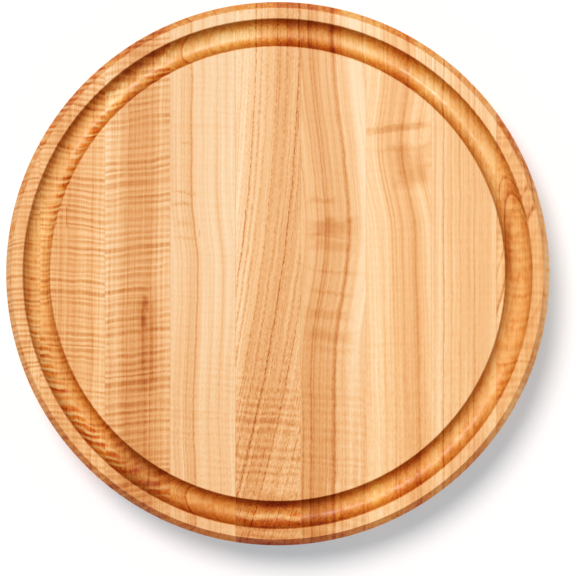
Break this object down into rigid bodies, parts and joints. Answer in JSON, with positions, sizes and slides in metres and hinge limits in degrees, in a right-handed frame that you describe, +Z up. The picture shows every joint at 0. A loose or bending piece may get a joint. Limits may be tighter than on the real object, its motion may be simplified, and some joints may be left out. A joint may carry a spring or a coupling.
{
  "type": "round chopping block",
  "caption": "Round edge-glued maple chopping block with a routed juice groove inside the rim and bevelled edges.",
  "frame": {"origin": "middle of the underside, on the surface that the block lies on", "axes": "+Z up out of the cutting surface, +Y along the grain of the staves, +X across them"},
  "size_m": [0.381, 0.381, 0.038],
  "materials": {
    "curly_maple": "oiled satin, curly figure",
    "tan_maple": "oiled satin",
    "honey_maple": "oiled satin",
    "pale_maple": "oiled satin",
    "wood_glue": "cured wood glue"
  },
  "bodies": {
    "root": {"left_stave_4": "curly_maple", "left_stave_3": "curly_maple", "left_stave_2": "tan_maple", "left_stave_1": "pale_maple", "middle_stave": "tan_maple", "right_stave_1": "honey_maple", "right_stave_2": "pale_maple", "right_stave_3": "pale_maple", "right_stave_4": "honey_maple", "left_glue_line_1": "wood_glue", "left_glue_line_2": "wood_glue", "left_glue_line_3": "wood_glue", "left_glue_line_4": "wood_glue", "right_glue_line_1": "wood_glue", "right_glue_line_2": "wood_glue", "right_glue_line_3": "wood_glue", "right_glue_line_4": "wood_glue"}
  },
  "joints": []
}
